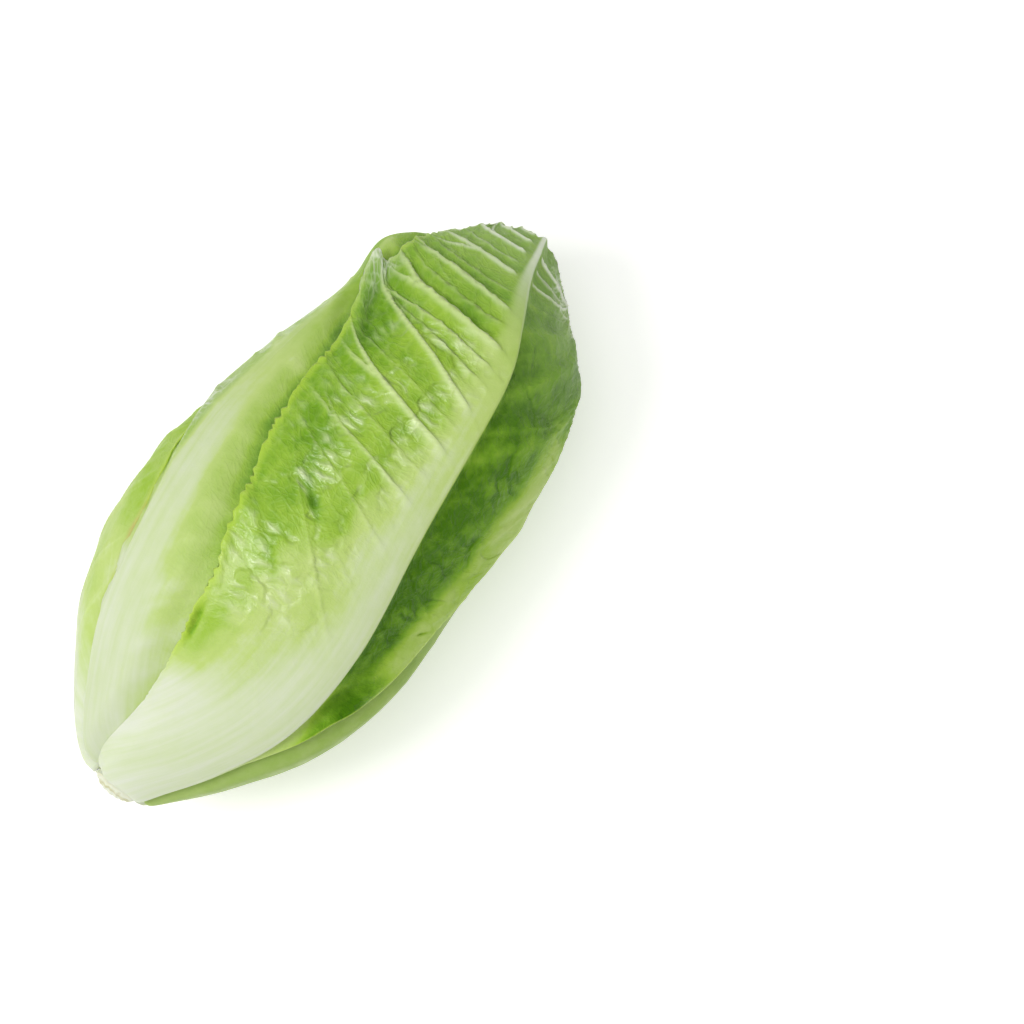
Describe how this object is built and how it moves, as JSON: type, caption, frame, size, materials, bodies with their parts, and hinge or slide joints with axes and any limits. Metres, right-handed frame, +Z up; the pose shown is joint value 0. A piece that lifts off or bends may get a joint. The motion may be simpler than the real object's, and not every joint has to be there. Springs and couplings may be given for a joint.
{
  "type": "romaine heart",
  "caption": "Romaine heart lying on its belly: waved leaves with thick pale midribs wrapped one over another round a short cut stem.",
  "frame": {"origin": "middle of the footprint, on the surface the heart lies on", "axes": "+X along the heart from the cut stem to the leaf tips, +Z up, +Y to the left when looking along +X"},
  "size_m": [0.2144, 0.1032, 0.0962],
  "materials": {
    "stem": "moist cut stem, off-white",
    "outer_leaf": "waxy and moist, bright green blade with a near-white midrib and base",
    "heart_leaf": "waxy, pale yellow-green with a near-white midrib"
  },
  "bodies": {
    "root": {"stem": "stem", "leaf_01_front": "outer_leaf", "leaf_02_underside": "outer_leaf", "leaf_03_left": "outer_leaf", "leaf_04_right": "outer_leaf", "leaf_05_left_front": "outer_leaf", "heart_leaf_06": "heart_leaf", "heart_leaf_07": "heart_leaf", "heart_leaf_08": "heart_leaf", "heart_leaf_09": "heart_leaf", "heart_leaf_10": "heart_leaf", "heart_leaf_11": "heart_leaf", "heart_leaf_12": "heart_leaf"}
  },
  "joints": []
}
